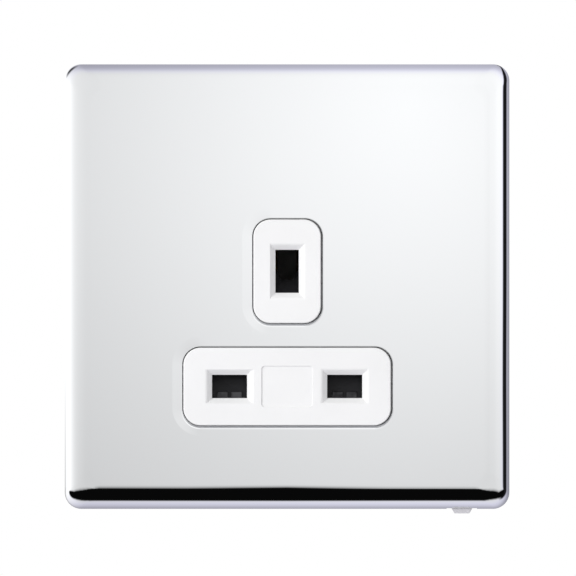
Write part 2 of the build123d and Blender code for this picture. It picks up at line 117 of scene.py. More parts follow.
def share(value, low, high):
    # 0 to 1 while the value goes from low to high, and held outside
    node = addNode(value.tree, "ShaderNodeMapRange", Value=value, From_Min=low, From_Max=high)
    return Field(value.tree, node.outputs["Result"])


def joinVector(tree, x=None, y=None, z=None):
    return addNode(tree, "ShaderNodeCombineXYZ", X=x, Y=y, Z=z).outputs[0]


def splitVector(tree, whole):
    parts = addNode(tree, "ShaderNodeSeparateXYZ", Vector=whole).outputs
    return [Field(tree, socket) for socket in parts]


# shapes made by Geometry Nodes
def shapeTree(name, sizes):
    tree = bpy.data.node_groups.new(name, "GeometryNodeTree")
    for label, size in sizes.items():
        kind = "NodeSocketInt" if isinstance(size, int) else "NodeSocketFloat"
        tree.interface.new_socket(label, in_out="INPUT", socket_type=kind)
    tree.interface.new_socket("Finish", in_out="INPUT", socket_type="NodeSocketMaterial")
    tree.interface.new_socket("Geometry", in_out="OUTPUT", socket_type="NodeSocketGeometry")
    sockets = addNode(tree, "NodeGroupInput").outputs
    return tree, {socket.name: Field(tree, socket) for socket in sockets}


def closeTree(tree, geometry, finish):
    real = addNode(tree, "GeometryNodeRealizeInstances", Geometry=geometry)
    done = addNode(tree, "GeometryNodeSetMaterial", Geometry=real.outputs[0], Material=finish)
    tree.links.new(done.outputs[0], addNode(tree, "NodeGroupOutput").inputs[0])


def moved(tree, geometry, place=None, turn=None):
    node = addNode(tree, "GeometryNodeTransform", Geometry=geometry, Translation=place, Rotation=turn)
    return node.outputs[0]


def welded(tree, geometry):
    return addNode(tree, "GeometryNodeMergeByDistance", Geometry=geometry, Distance=weld).outputs[0]


def cutBlock(tree, body, sizes, place):
    cube = addNode(tree, "GeometryNodeMeshCube", Size=joinVector(tree, *sizes)).outputs[0]
    cut = addNode(tree, "GeometryNodeMeshBoolean", {"operation": "DIFFERENCE", "solver": "EXACT"})
    tree.links.new(body, cut.inputs["Mesh 1"])
    tree.links.new(moved(tree, cube, place=joinVector(tree, *place)), cut.inputs["Mesh 2"])
    return cut.outputs[0]


def addObject(name, data):
    thing = bpy.data.objects.new(name, data)
    bpy.context.scene.collection.objects.link(thing)
    return thing


def evaluatedMesh(thing):
    evaluated = thing.evaluated_get(bpy.context.evaluated_depsgraph_get())
    mesh = bpy.data.meshes.new_from_object(evaluated)
    thing.modifiers.clear()
    return mesh


def meshFromTree(name, tree, sizes, finish):
    holder = addObject(name + "Rule", bpy.data.meshes.new(name + "Rule"))
    rule = holder.modifiers.new("rule", "NODES")
    rule.node_group = tree
    for item in tree.interface.items_tree:
        if item.in_out == "INPUT":
            rule[item.identifier] = finish if item.name == "Finish" else sizes[item.name]
    mesh = evaluatedMesh(holder)
    bpy.data.objects.remove(holder)
    return mesh


def meshFromWork(name, work):
    mesh = bpy.data.meshes.new(name)
    work.to_mesh(mesh)
    work.free()
    return mesh


# pieces
def evenNormals(piece):
    # large flats keep their shading flat beside small rounded edges
    even = piece.modifiers.new("even", "WEIGHTED_NORMAL")
    even.keep_sharp = True
    spare = piece.data
    piece.data = evaluatedMesh(piece)
    bpy.data.meshes.remove(spare)
    piece.data.name = piece.name


def placePiece(name, mesh, finish, body, nodes, sharpDegrees=35):
    mesh.name = name
    mesh.materials.clear()
    mesh.materials.append(finish)
    for face in mesh.polygons:
        face.use_smooth = True
        face.material_index = 0
    mesh.set_sharp_from_angle(angle=math.radians(sharpDegrees))
    piece = addObject(name, mesh)
    evenNormals(piece)
    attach(piece, body)
    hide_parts(*nodes)
    return piece


softEdges = {
    "weld": 0.002 * mm,
    "flat": 1,  # degrees up to which two faces are one
    "sharp": 25,  # degrees from which an edge is broken
    "segments": 2,
}


def bevelEdges(work, edges, width, segments):
    bmesh.ops.bevel(work, geom=edges, offset=width, segments=segments, profile=0.5, affect="EDGES",
                    clamp_overlap=False, loop_slide=True)


def roundedCopy(node, width, change=None):
    # copy of a solid with its sharp edges broken, as moulding and stamping leave them
    mesh = frame["nodes"][node].data.copy()
    work = bmesh.new()
    work.from_mesh(mesh)
    bmesh.ops.remove_doubles(work, verts=work.verts, dist=softEdges["weld"])
    bmesh.ops.dissolve_limit(work, angle_limit=math.radians(softEdges["flat"]), verts=work.verts,
                             edges=work.edges)
    if change:
        change(work)
    limit = math.radians(softEdges["sharp"])
    edges = [e for e in work.edges if len(e.link_faces) == 2 and e.calc_face_angle(0) > limit]
    bevelEdges(work, edges, width, softEdges["segments"])
    work.to_mesh(mesh)
    work.free()
    return mesh


# finishes
noiseSpan = (0.3, 0.7)  # most of a noise pattern lies between these
# scale and detail of each pattern
plasticNoise = {"colour": (90, 2), "gloss": (400, 3), "grainDetail": 2}
metalNoise = {"colour": (120, 4), "grain": (700, 4)}
plasticGlossSpread = (-0.05, 0.05)
metalGlossSpread = (-0.08, 0.1)


def newFinish(name, colour, metal, rough):
    finish = bpy.data.materials.new(name)
    finish.use_nodes = True
    shader = finish.node_tree.nodes["Principled BSDF"]
    shader.inputs["Base Color"].default_value = (*colour, 1)
    shader.inputs["Metallic"].default_value = metal
    shader.inputs["Roughness"].default_value = rough
    return finish, finish.node_tree, shader


def emptyFinish(name):
    finish = bpy.data.materials.new(name)
    finish.use_nodes = True
    finish.node_tree.nodes.clear()
    return finish, finish.node_tree


def objectPlace(tree):
    return addNode(tree, "ShaderNodeTexCoord").outputs["Object"]


def objectNoise(tree, scale, detail, stretch=(1, 1, 1)):
    turn = addNode(tree, "ShaderNodeMapping", Vector=objectPlace(tree), Scale=stretch)
    noise = addNode(tree, "ShaderNodeTexNoise", Vector=turn.outputs[0], Scale=scale, Detail=detail)
    return Field(tree, noise.outputs["Fac"])


def mixColour(tree, factor, first, second):
    # by number, because the node has several sockets of each name
    mix = addNode(tree, "ShaderNodeMix", {"data_type": "RGBA"})
    for number, value in ((0, factor), (6, first), (7, second)):
        setSocket(tree, mix.inputs[number], value)
    return mix.outputs[2]


def mixShaders(tree, factor, first, second):
    mix = addNode(tree, "ShaderNodeMixShader", Fac=factor)
    tree.links.new(first.outputs[0], mix.inputs[1])
    tree.links.new(second.outputs[0], mix.inputs[2])
    return mix


def varyRoughness(tree, shader, pattern, low, high):
    spread = addNode(tree, "ShaderNodeMapRange", Value=pattern, From_Min=noiseSpan[0],
                     From_Max=noiseSpan[1], To_Min=low, To_Max=high)
    tree.links.new(spread.outputs[0], shader.inputs["Roughness"])


def varyColour(tree, shader, pattern, *colours):
    ramp = addNode(tree, "ShaderNodeValToRGB", Fac=pattern)
    for element, place, colour in zip(ramp.color_ramp.elements, noiseSpan, colours):
        element.position = place
        element.color = (*colour, 1)
    tree.links.new(ramp.outputs[0], shader.inputs["Base Color"])


def addRelief(tree, shader, pattern, height):
    bump = addNode(tree, "ShaderNodeBump", Height=pattern, Distance=height, Strength=1.0)
    tree.links.new(bump.outputs[0], shader.inputs["Normal"])


def chromeFinish(colour, smooth, rough, scale, detail):
    finish, tree, shader = newFinish("polishedChrome", colour, 1.0, (smooth + rough) / 2)
    varyRoughness(tree, shader, objectNoise(tree, scale, detail), smooth, rough)
    return finish


def mouldedFinish(name, dark, pale, rough, grain, height, gloss=0.5):
    finish, tree, shader = newFinish(name, pale, 0.0, rough)
    shader.inputs["Specular IOR Level"].default_value = gloss
    varyColour(tree, shader, objectNoise(tree, *plasticNoise["colour"]), dark, pale)
    spread = [rough + step for step in plasticGlossSpread]
    varyRoughness(tree, shader, objectNoise(tree, *plasticNoise["gloss"]), *spread)
    addRelief(tree, shader, objectNoise(tree, grain, plasticNoise["grainDetail"]), height)
    return finish


def metalFinish(name, dark, pale, rough, stretch, height):
    finish, tree, shader = newFinish(name, pale, 1.0, rough)
    grain = objectNoise(tree, *metalNoise["grain"], stretch)
    varyColour(tree, shader, objectNoise(tree, *metalNoise["colour"]), dark, pale)
    varyRoughness(tree, shader, grain, *[rough + step for step in metalGlossSpread])
    addRelief(tree, shader, grain, height)
    return finish


# ribs at the foot of the shutter's blade, painted paler: a painted highlight standing in for the light that
# falls on the lower ramps
ribHighlight = {
    "depth": (-2.5 * mm, -2.65 * mm),  # only in front of this
    "height": (-20.2 * mm, -20.5 * mm),  # and below this
    "noise": (500, 3),
    "noiseSpan": (0.25, 0.6),
    "colour": (0.06, 0.06, 0.064),
}


def paintRibHighlight(finish):
    tree = finish.node_tree
    colour = tree.nodes["Principled BSDF"].inputs["Base Color"]
    x, y, z = splitVector(tree, objectPlace(tree))
    # painted highlight: paler colour at the foot of the blades, in place of light on the lower ramps
    highlitFoot = share(y, *ribHighlight["depth"]) * share(z, *ribHighlight["height"])
    patchy = share(objectNoise(tree, *ribHighlight["noise"]), *ribHighlight["noiseSpan"])
    plain = colour.links[0].from_socket
    tree.links.new(mixColour(tree, highlitFoot * patchy, plain, (*ribHighlight["colour"], 1)), colour)


chrome = chromeFinish(colour=(0.812, 0.822, 0.833), smooth=0.02, rough=0.03, scale=60, detail=4)
whitePlastic = mouldedFinish("satinWhitePlastic", dark=(0.85, 0.85, 0.85), pale=(0.88, 0.88, 0.88),
                             rough=0.36, grain=7000, height=0.002 * mm)
carrierPlastic = mouldedFinish("milkyPlastic", dark=(0.64, 0.63, 0.66), pale=(0.70, 0.69, 0.72),
                               rough=0.42, grain=5000, height=0.004 * mm)
blackPlastic = mouldedFinish("blackShutterPlastic", dark=(0.006, 0.006, 0.007), pale=(0.01, 0.01, 0.012),
                             rough=0.45, grain=6000, height=0.006 * mm, gloss=0.2)
paintRibHighlight(blackPlastic)
greyBoard = mouldedFinish("greyBoard", dark=(0.26, 0.27, 0.28), pale=(0.34, 0.35, 0.36),
                          rough=0.6, grain=4000, height=0.008 * mm)
# partly painted shade: the back is coloured near black so that the insides of the pin holes render as dark as
# their shade
backPlastic = mouldedFinish("mattDarkBack", dark=(0.041, 0.041, 0.043), pale=(0.049, 0.049, 0.051),
                            rough=0.45, grain=1900, height=0.02 * mm, gloss=0.4)
zincSteel = metalFinish("zincSteel", dark=(0.52, 0.53, 0.52), pale=(0.68, 0.69, 0.67),
                        rough=0.3, stretch=(1, 1, 8), height=0.003 * mm)
springSteel = metalFinish("springSteel", dark=(0.45, 0.45, 0.45), pale=(0.6, 0.6, 0.58),
                          rough=0.3, stretch=(6, 6, 1), height=0.002 * mm)
contactBrass = metalFinish("stampedBrass", dark=(0.67, 0.48, 0.21), pale=(0.76, 0.56, 0.26),
                           rough=0.28, stretch=(1, 8, 1), height=0.002 * mm)
terminalBrass = metalFinish("turnedBrass", dark=(0.64, 0.46, 0.2), pale=(0.8, 0.62, 0.3),
                            rough=0.24, stretch=(1, 1, 10), height=0.003 * mm)
screwSteel = metalFinish("platedScrew", dark=(0.55, 0.55, 0.5), pale=(0.72, 0.71, 0.64),
                         rough=0.27, stretch=(1, 8, 1), height=0.002 * mm)
print("finishes made")


# front plate, formed by rule from rounded outlines
plateLow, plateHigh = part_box("front_plate")
plate = {
    "Half Size": plateHigh.x,
    "Depth": -plateLow.y,
    "Sheet": 0.8 * mm,
    "Corner": 3.2 * mm,
    "Face Corner": 2.6 * mm,
    "Roll Radius": 4.0 * mm,
    "Flat Margin": 1.2 * mm,  # ring just inside the roll, which leads softly into it
    "Soft Start": 1.5,  # degrees
    "Earth Width": 13.58 * mm,
    "Earth Height": 20.26 * mm,
    "Earth Centre": 3.02 * mm,  # a hair above the middle of the boss, as the live one is
    "Live Width": 40.58 * mm,
    "Live Height": 15.26 * mm,
    "Live Centre": -19.21 * mm,
    "Opening Corner": 3.5 * mm,
    "Opening Shift": 0.07 * mm,  # the plate clips on a hair to the right
    "Dish Width": 2.0 * mm,  # sheet drawn in a little beside each opening, on its left
    "Earth Dish": 0.014 * mm,
    "Live Dish": 0.019 * mm,
    "Edge Radius": 0.06 * mm,
    "Lower Edge Radius": 0.6 * mm,  # softer below the opening
    "Notch Place": 33.8 * mm,
    "Notch Width": 5.9 * mm,
    "Notch Depth": 2.1 * mm,
}
ringPoints = {"plate": 288, "opening": 160}
straightShare = 0.3  # of the points in a quarter, on each straight beside the corner
plateSteps = {"margin": 10, "roll": 28, "skirt": 3, "rim": 1, "innerSkirt": 1, "innerRoll": 8}
openingSteps = {"dish": 14, "round": 6, "wall": 1}
rowSlack = 0.25  # rows are whole numbers
notchSheets = 4.0  # depth of the notch's cutter, in sheets


def stepShares(row, steps):
    # one 0 to 1 value for each stretch of a profile
    shares = {}
    start = 0
    for name, count in steps.items():
        shares[name] = share(row, start, start + count)
        start += count
    return shares


def outlinePoint(turn, halfWidth, halfHeight, corner):
    # place on a rounded rectangle, from the middle of its right side once round
    along = maths("PINGPONG", turn * 4.0, 1.0)
    first = share(along, 0.0, straightShare)
    bend = share(along, straightShare, 1 - straightShare) * quarter
    last = share(along, 1 - straightShare, 1.0)
    runX = halfWidth - corner
    runY = halfHeight - corner
    x = runX + corner * maths("COSINE", bend) - runX * last
    y = corner * maths("SINE", bend) + runY * first
    angle = turn * fullTurn
    x = x * maths("SIGN", maths("COSINE", angle))
    y = y * maths("SIGN", maths("SINE", angle))
    return x, y


def ringGrid(tree, points, steps):
    # bare grid, with each point's turn and row
    rows = sum(steps.values()) + 1
    grid = addNode(tree, "GeometryNodeMeshGrid", Vertices_X=points + 1, Vertices_Y=rows)
    index = Field(tree, addNode(tree, "GeometryNodeInputIndex").outputs[0])
    row = maths("MODULO", index, rows)
    column = maths("FLOOR", (index + 0.5) / rows)
    return grid.outputs["Mesh"], column / points, row


def placeGrid(tree, grid, x, y, z):
    place = joinVector(tree, x, y, z)
    return addNode(tree, "GeometryNodeSetPosition", Geometry=grid, Position=place).outputs[0]


def rimCurves(tree, grid, row, steps):
    # first and last row of a grid, as closed curves
    curves = []
    for wanted in (0, sum(steps.values())):
        part = addNode(tree, "GeometryNodeSeparateGeometry", {"domain": "POINT"}, Geometry=grid,
                       Selection=maths("COMPARE", row, wanted, rowSlack))
        ring = welded(tree, part.outputs[0])
        curves.append(addNode(tree, "GeometryNodeMeshToCurve", Mesh=ring).outputs[0])
    return curves


def joinAll(tree, parts):
    join = addNode(tree, "GeometryNodeJoinGeometry")
    for part in parts:
        tree.links.new(part, join.inputs[0])
    return join.outputs[0]


def flipped(tree, geometry):
    return addNode(tree, "GeometryNodeFlipFaces", Mesh=geometry).outputs[0]


def fillBetween(tree, curves, height):
    fill = addNode(tree, "GeometryNodeFillCurve", Curve=joinAll(tree, curves)).outputs[0]
    return moved(tree, fill, place=joinVector(tree, z=height))


def rolledEdge(tree, size):
    grid, turn, row = ringGrid(tree, ringPoints["plate"], plateSteps)
    part = stepShares(row, plateSteps)
    soft = maths("RADIANS", size["Soft Start"])
    roll = part["roll"] * (quarter - soft) + soft
    innerRoll = part["innerRoll"] * quarter
    sine = maths("SINE", roll)
    rise = maths("COSINE", soft) - maths("COSINE", roll)
    innerBack = 1.0 - maths("COSINE", innerRoll)
    innerRadius = size["Roll Radius"] - size["Sheet"]
    thin = size["Sheet"] * part["rim"]
    # half width: margin, roll out, step in by the sheet, roll back
    margin = size["Flat Margin"] * (1.0 - part["margin"])
    half = size["Half Size"] - size["Roll Radius"] - margin
    half = half + size["Roll Radius"] * sine - thin - innerRadius * innerBack
    # corner radius follows the same steps
    gain = size["Corner"] - size["Face Corner"]
    corner = size["Face Corner"] + gain * sine - thin + (size["Sheet"] - gain) * innerBack
    # height above the wall
    lead = size["Flat Margin"] * maths("TANGENT", soft) * 0.5
    skirt = size["Depth"] - size["Roll Radius"] * maths("COSINE", soft) - lead
    height = size["Depth"] - size["Roll Radius"] * rise - lead * maths("POWER", part["margin"], 2.0)
    height = height - skirt * part["skirt"] + skirt * part["innerSkirt"]
    height = height + innerRadius * maths("SINE", innerRoll)
    x, y = outlinePoint(turn, half, half, corner)
    ring = placeGrid(tree, grid, x, y, height)
    return flipped(tree, ring), rimCurves(tree, ring, row, plateSteps)


def openingCollar(tree, size, name):
    grid, turn, row = ringGrid(tree, ringPoints["opening"], openingSteps)
    part = stepShares(row, openingSteps)
    swing = part["round"] * quarter
    halfWidth = size[name + " Width"] * 0.5
    halfHeight = size[name + " Height"] * 0.5
    corner = size["Opening Corner"]
    # how far round to the left side and to the bottom each point lies
    x, y = outlinePoint(turn, halfWidth, halfHeight, corner)
    onLeft = share(x, corner - halfWidth, halfWidth * -1.0)
    onBottom = share(y, corner - halfHeight, halfHeight * -1.0)
    depth = size[name + " Dish"] * onLeft
    radius = size["Edge Radius"] + (size["Lower Edge Radius"] - size["Edge Radius"]) * onBottom
    # distance out from the opening
    away = (size["Dish Width"] - radius) * (1.0 - part["dish"])
    away = away + radius * (1.0 - maths("SINE", swing))
    # drop below the face: dish, rounded edge, wall
    drop = depth * part["dish"] + radius * (1.0 - maths("COSINE", swing))
    drop = drop + (size["Sheet"] - depth - radius) * part["wall"]
    x, y = outlinePoint(turn, halfWidth + away, halfHeight + away, corner + away)
    x = x + size["Opening Shift"]
    y = y + size[name + " Centre"]
    collar = placeGrid(tree, grid, x, y, size["Depth"] - drop)
    return collar, rimCurves(tree, collar, row, openingSteps)


def plateTree():
    tree, size = shapeTree("pressedPlate", plate)
    rings = [rolledEdge(tree, size), openingCollar(tree, size, "Earth"), openingCollar(tree, size, "Live")]
    front = fillBetween(tree, [curves[0] for ring, curves in rings], size["Depth"])
    back = fillBetween(tree, [curves[1] for ring, curves in rings], size["Depth"] - size["Sheet"])
    whole = joinAll(tree, [ring for ring, curves in rings] + [front, flipped(tree, back)])
    # notch in the lower edge
    notch = (size["Notch Width"], size["Sheet"] * notchSheets, size["Notch Depth"] * 2.0)
    edge = (size["Notch Place"], size["Half Size"] * -1.0)
    notched = cutBlock(tree, welded(tree, whole), notch, edge)
    closeTree(tree, moved(tree, notched, turn=(quarter, 0, 0)), size["Finish"])
    return tree


plateMesh = meshFromTree("frontPlate", plateTree(), plate, chrome)
frontPlate = placePiece("frontPlate", plateMesh, chrome, "socket", ["front_plate"])
print("plate formed,", len(frontPlate.data.polygons), "faces")


# spring behind the shutter, wound by rule with closed ends
springLow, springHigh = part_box("shutter_spring")
spring = {
    "Wire": 0.5 * mm,
    "Outside": springHigh.x,
    "Height": springHigh.z - springLow.z,
    "Turns": 6.0,
    "Closed Turns": 1.0,  # at each end
    "Centre Depth": (springLow.y + springHigh.y) / 2,
    "Foot": springLow.z,
}
springPoints = {"coil": 241, "wire": 14}
closedWires = 3.0  # both closed ends and the wire itself take up this many wires


def springTree():
    tree, size = shapeTree("closedCoil", spring)
    line = addNode(tree, "GeometryNodeCurvePrimitiveLine").outputs[0]
    path = addNode(tree, "GeometryNodeResampleCurve", Curve=line, Count=springPoints["coil"]).outputs[0]
    wound = Field(tree, addNode(tree, "GeometryNodeSplineParameter").outputs["Factor"]) * size["Turns"]
    angle = wound * fullTurn
    thick = size["Wire"] * 0.5
    radius = size["Outside"] - thick
    # each closed end rises by the wire alone
    late = size["Turns"] - size["Closed Turns"]
    ends = share(wound, 0.0, size["Closed Turns"]) + share(wound, late, size["Turns"])
    openRise = size["Height"] - size["Wire"] * closedWires
    rise = openRise * share(wound, size["Closed Turns"], late) + size["Wire"] * (ends + 0.5)
    x = radius * maths("COSINE", angle)
    y = size["Centre Depth"] + radius * maths("SINE", angle)
    coil = placeGrid(tree, path, x, y, size["Foot"] + rise)
    ring = addNode(tree, "GeometryNodeCurvePrimitiveCircle", Resolution=springPoints["wire"], Radius=thick)
    wire = addNode(tree, "GeometryNodeCurveToMesh", Curve=coil, Profile_Curve=ring.outputs[0], Fill_Caps=True)
    closeTree(tree, wire.outputs[0], size["Finish"])
    return tree


springMesh = meshFromTree("shutterSpring", springTree(), spring, springSteel)
shutterSpring = placePiece("shutterSpring", springMesh, springSteel, "socket",
                           ["shutter_spring"])
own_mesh(shutterSpring)
print("spring wound,", len(shutterSpring.data.polygons), "faces")


# slotted screws, turned by rule with a helical thread
terminalScrew = {
    "Radius": 1.75 * mm,
    "Length": 7.4 * mm,
    "Head Radius": 3.25 * mm,
    "Head Height": 2.4 * mm,
    "Slot Width": 0.8 * mm,
    "Slot Depth": 1.1 * mm,
    "Pitch": 0.7 * mm,
    "Thread Depth": 0.3 * mm,
    "Round": 0.3 * mm,  # edges of the head
    "Tip Bevel": 0.35 * mm,
    "Neck": 0.4 * mm,
    "Slot Turn": 0.0,  # degrees
    "Count": 1,
    "Spacing": 0.0,
    "Place X": 0.0,
    "Place Y": 0.0,
    "Place Z": 0.0,
}
coverScrew = {**terminalScrew, "Radius": 1.3 * mm, "Head Radius": 2.7 * mm, "Head Height": 2.0 * mm,
              "Pitch": 0.9 * mm, "Thread Depth": 0.28 * mm}
screwSteps = {"tip": 1, "lead": 2, "thread": 90, "neck": 1, "under": 1, "rim": 4, "side": 1, "crown": 4,
              "top": 1}
screwPoints = 48
threadEnd = 0.92  # the thread runs out over the rest of its length
slotReach = 2.2  # length of the slot's cutter, in head radii


def screwTree():
    tree, size = shapeTree("slottedScrew", terminalScrew)
    grid, turn, row = ringGrid(tree, screwPoints, screwSteps)
    part = stepShares(row, screwSteps)
    rim = part["rim"] * quarter
    crown = part["crown"] * quarter
    bevel = size["Tip Bevel"]
    edge = size["Round"]
    shoulder = size["Head Radius"] - edge
    # height from the tip
    shank = size["Length"] - bevel - size["Neck"]
    side = size["Head Height"] - edge * 2.0
    height = bevel * part["lead"] + shank * part["thread"] + size["Neck"] * part["neck"]
    height = height + edge * (1.0 - maths("COSINE", rim))
    height = height + side * part["side"] + edge * maths("SINE", crown)
    # distance from the axis, with the thread cut in
    out = (size["Radius"] - bevel) * part["tip"] + bevel * part["lead"]
    out = out + (shoulder - size["Radius"]) * part["under"] + edge * maths("SINE", rim)
    out = out - edge * (1.0 - maths("COSINE", crown)) - shoulder * part["top"]
    wave = height / size["Pitch"] - turn
    fade = part["lead"] * share(part["thread"], 1.0, threadEnd)
    out = out - maths("PINGPONG", wave, 0.5) * 2.0 * fade * size["Thread Depth"]
    angle = turn * fullTurn
    x = out * maths("COSINE", angle)
    y = out * maths("SINE", angle)
    body = welded(tree, placeGrid(tree, grid, x, y, height))
    # driver slot
    slot = (size["Head Radius"] * slotReach, size["Slot Width"], size["Slot Depth"] * 2.0)
    screw = cutBlock(tree, body, slot, (None, None, size["Length"] + size["Head Height"]))
    screw = moved(tree, screw, turn=joinVector(tree, z=maths("RADIANS", size["Slot Turn"])))
    screw = moved(tree, screw, turn=(-quarter, 0, 0))
    # one for each place in the row
    first = size["Place X"] - (size["Count"] - 1.0) * size["Spacing"] * 0.5
    line = addNode(tree, "GeometryNodeMeshLine", Count=size["Count"],
                   Start_Location=joinVector(tree, first, size["Place Y"], size["Place Z"]),
                   Offset=joinVector(tree, size["Spacing"]))
    placed = addNode(tree, "GeometryNodeInstanceOnPoints", Points=line.outputs[0], Instance=screw)
    closeTree(tree, placed.outputs[0], size["Finish"])
    return tree


screwRule = screwTree()
screws = {
    "line_terminal_screw": ("lineTerminalScrew", terminalScrew, 14.0),
    "neutral_terminal_screw": ("neutralTerminalScrew", terminalScrew, -31.0),
    "earth_terminal_screw": ("earthTerminalScrew", terminalScrew, 52.0),
    "cover_screws": ("coverScrews", coverScrew, -9.0),
}
screwSharp = 30  # degrees
for node, (name, base, slotTurn) in screws.items():
    low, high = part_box(node)
    sizes = {**base, "Slot Turn": slotTurn, "Place X": (low.x + high.x) / 2, "Place Y": low.y,
             "Place Z": (low.z + high.z) / 2}
    sizes["Length"] = high.y - low.y - base["Head Height"]
    if node == "cover_screws":
        sizes["Count"] = 2
        sizes["Spacing"] = high.x - low.x - 2 * base["Head Radius"]
    screwMesh = meshFromTree(name, screwRule, sizes, screwSteel)
    screw = placePiece(name, screwMesh, screwSteel, "socket", [node], screwSharp)
    print(name, "turned,", len(screw.data.polygons), "faces")


# stage
stage = {
    "pixels": 576,
    "pixelsPerMm": 5.165,
    "plateCentre": (287.1, 286.6),  # where the plate's middle lands in the picture
    "distance": 1.5,
    "sensor": 36,
    "sightEnd": 10,
    "floorLevel": -0.10,
    "floorRadius": 1.0,
    "floorSides": 96,
    "floorColour": (0.82, 0.82, 0.86),
    "floorRough": 0.7,
    "floorFade": (0.35, 0.95),  # shares of its radius, where it turns into the white background
    "ambient": 0.65,
    "keyPlace": (-0.72, -0.70, 0.26),
    "keySize": 0.5,
    "keyPower": 5.8,
}


def makeCamera():
    width = stage["pixels"] / stage["pixelsPerMm"] * mm
    middle = stage["pixels"] / 2
    data = bpy.data.cameras.new("photoCamera")
    data.sensor_width = stage["sensor"]
    data.lens = data.sensor_width * stage["distance"] / width
    data.clip_end = stage["sightEnd"]
    camera = addObject("photoCamera", data)
    across = (middle - stage["plateCentre"][0]) / stage["pixelsPerMm"] * mm
    up = (stage["plateCentre"][1] - middle) / stage["pixelsPerMm"] * mm
    camera.location = (across, -stage["distance"], up)
    camera.rotation_euler = (quarter, 0, 0)
    bpy.context.scene.camera = camera


def makeWorld():
    world = bpy.data.worlds.new("whiteStudio")
    world.use_nodes = True
    tree = world.node_tree
    tree.nodes.clear()
    path = addNode(tree, "ShaderNodeLightPath").outputs
    seen = calc(tree, "MAXIMUM", path["Is Camera Ray"], path["Is Glossy Ray"])
    seen = maths("MAXIMUM", seen, path["Is Transmission Ray"])
    soft = addNode(tree, "ShaderNodeBackground", Color=(1, 1, 1, 1), Strength=stage["ambient"])
    white = addNode(tree, "ShaderNodeBackground", Color=(1, 1, 1, 1), Strength=1.0)
    mix = mixShaders(tree, seen, soft, white)
    tree.links.new(mix.outputs[0], addNode(tree, "ShaderNodeOutputWorld").inputs["Surface"])
    bpy.context.scene.world = world


def makeKey():
    data = bpy.data.lights.new("softKey", "AREA")
    data.shape = "DISK"
    data.size = stage["keySize"]
    data.energy = stage["keyPower"]
    key = addObject("softKey", data)
    key.location = stage["keyPlace"]
    key.rotation_mode = "QUATERNION"
    key.rotation_quaternion = (-Vector(stage["keyPlace"])).to_track_quat("-Z", "Y")
    key.visible_glossy = False
    key.visible_camera = False


def makeFloor():
    work = bmesh.new()
    bmesh.ops.create_circle(work, cap_ends=True, segments=stage["floorSides"],
                            radius=stage["floorRadius"])
    bmesh.ops.translate(work, verts=work.verts, vec=(0, 0, stage["floorLevel"]))
    mesh = meshFromWork("floor", work)
    finish, tree, shader = newFinish("paleFloor", stage["floorColour"], 0.0, stage["floorRough"])
    # the far edge fades into the white background
    away = addNode(tree, "ShaderNodeVectorMath", {"operation": "LENGTH"})
    tree.links.new(objectPlace(tree), away.inputs[0])
    near, far = [part * stage["floorRadius"] for part in stage["floorFade"]]
    fade = share(Field(tree, away.outputs["Value"]), near, far)
    glow = addNode(tree, "ShaderNodeEmission", Color=(1, 1, 1, 1), Strength=1.0)
    # seen from below, the floor is clear
    under = addNode(tree, "ShaderNodeNewGeometry").outputs["Backfacing"]
    clear = addNode(tree, "ShaderNodeBsdfTransparent")
    whole = mixShaders(tree, under, mixShaders(tree, fade, shader, glow), clear)
    tree.links.new(whole.outputs[0], tree.nodes["Material Output"].inputs["Surface"])
    mesh.materials.append(finish)
    floor = addObject("floor", mesh)
    floor.visible_glossy = False


# the studio as reflections see it: a wide dome, lit by direction
dome = {
    "radius": 3.0,
    "fineness": 5,
    "mirror": 0.82,  # share of light that the chrome sends back
    "poolCentre": (24, 35),  # a soft pool of light on the flat face, in mm
    "pool": [(0, 0.985), (12, 0.957), (30, 0.896), (48, 0.82), (72, 0.711), (96, 0.615)],
    # share of the pool's light left on each side, by degrees away from the camera
    "top": [(0, 1), (37, 1), (55, 0.98), (67, 0.936), (74, 0.92), (81, 0.85), (88, 0.78), (96, 0.68),
            (105, 0.61), (114, 0.56), (125, 0.53), (150, 0.48), (180, 0.45)],
    "right": [(0, 1), (2.1, 1), (4.9, 0.965), (9, 0.985), (30, 1), (49, 1.05), (68, 1.06), (81, 1.02),
              (125, 0.45), (140, 0.41), (160, 0.33), (180, 0.26)],
    "bottom": [(0, 1), (60, 1), (78, 1.03), (92, 1.02), (108, 0.9), (130, 0.68), (150, 0.54), (180, 0.48)],
    # on the left the light rises instead, to its own level
    "left": [(0, 0), (2.5, 0), (9, 0.04), (14, 0.06), (37, 0.14), (50, 0.23), (61, 0.35), (75, 0.6),
             (92, 1), (180, 1)],
    "leftLevel": 1.03,
    "leftShade": 0.2,  # behind it, low down
    "leftShadeAngles": (130, 165),
    "leftShadeHeights": (-0.012, -0.045),
    "seam": (-0.005, 0.005),  # where left meets right, and bottom meets top
    "nearAxis": 0.00001,  # keeps the split between sides from dividing by nothing
    # the dark strip beside the plate on the right: degrees from the camera, by degrees round from the right
    "stripPlace": [(-45, 80), (-30, 86), (-14, 95), (-2, 101), (-1, 99), (0, 102), (2, 102), (15, 102),
                   (26, 104), (38, 111), (46, 121), (50, 128), (55, 140), (64, 160)],
    "stripHalf": [(-45, 6), (-30, 9), (-14, 13), (0, 17), (15, 17), (26, 16), (38, 15), (50, 13), (64, 11)],
    "stripEnds": ((74, 66), (-50, -36)),  # degrees round, over which it fades in
    "stripSoft": (4, -4),  # degrees off its edge
    "stripLevel": 0.01,
    "cornerWay": (-0.534, 0.656, 0.534),  # small dark patch behind, at the upper left
    "cornerSpan": (0.92, 0.99),
    "cornerLevel": 0.06,
    "lavender": (0.95, 0.94, 1.1),
    "lavenderAngles": (60, 95),
}


